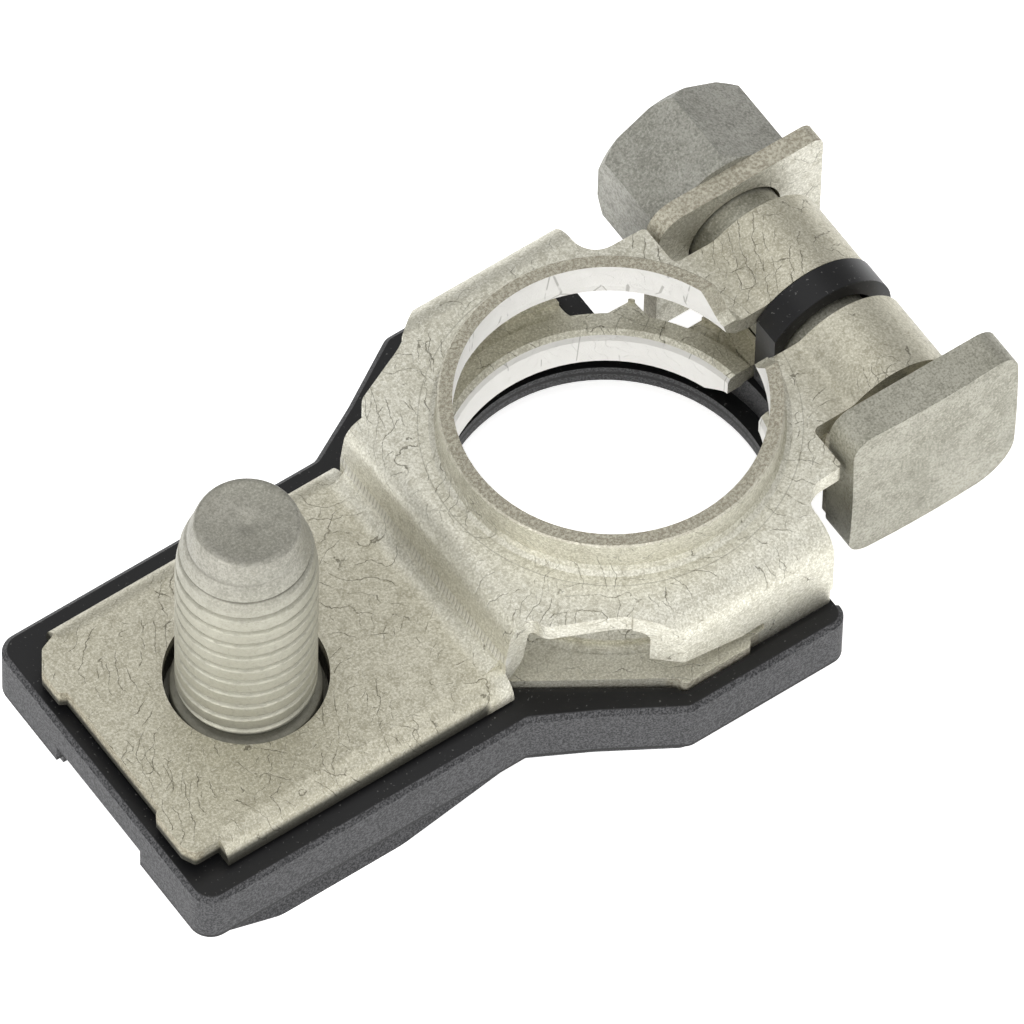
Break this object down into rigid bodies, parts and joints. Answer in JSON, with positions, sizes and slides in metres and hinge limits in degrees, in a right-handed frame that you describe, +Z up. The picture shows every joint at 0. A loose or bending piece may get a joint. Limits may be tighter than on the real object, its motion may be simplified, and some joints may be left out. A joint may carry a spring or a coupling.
{
  "type": "battery terminal clamp",
  "caption": "Positive battery post clamp: folded sheet with two collars, side-entry clamp bolt and nut, threaded cable stud and a moulded insulating base.",
  "frame": {"origin": "On the battery post's axis, halfway up the straight wall of the upper collar, which is the gauge plane of the fit.", "axes": "Z up along the post's axis, X from the post towards the clamp bolt, Y along the clamp bolt towards its nut."},
  "size_m": [0.0548, 0.0302, 0.023],
  "materials": {
    "tinned_sheet": "tin plated sheet, warm grey, scratched and speckled",
    "stud_zinc": "matt zinc grey, finely speckled",
    "bolt_zinc": "matt zinc grey",
    "washer_tin": "plated sheet with brownish sheared edges",
    "nut_zinc": "matt zinc grey, finely speckled",
    "base_plastic": "black moulded plastic, fine grain on the sides"
  },
  "bodies": {
    "clamp": {"terminal_sheet": "tinned_sheet", "insulating_base": "base_plastic", "terminal_stud": "stud_zinc", "clamp_bolt": "bolt_zinc", "head_washer": "washer_tin"},
    "washer": {"nut_washer": "washer_tin"},
    "nut": {"clamp_nut": "nut_zinc"}
  },
  "joints": [
    {"name": "nut_advance", "type": "slide", "parent": "clamp", "child": "washer", "axis": [0, -1, 0], "range_m": [0, 0.0017]},
    {"name": "nut_turn", "type": "hinge", "parent": "washer", "child": "nut", "pos_m": [0.0145, 0.0125, -0.00473], "axis": [0, -1, 0], "range_deg": [0, 612]}
  ],
  "couplings": [
    {"joint": "nut_turn", "follows": "nut_advance", "rad_per_m": 6283.2}
  ]
}
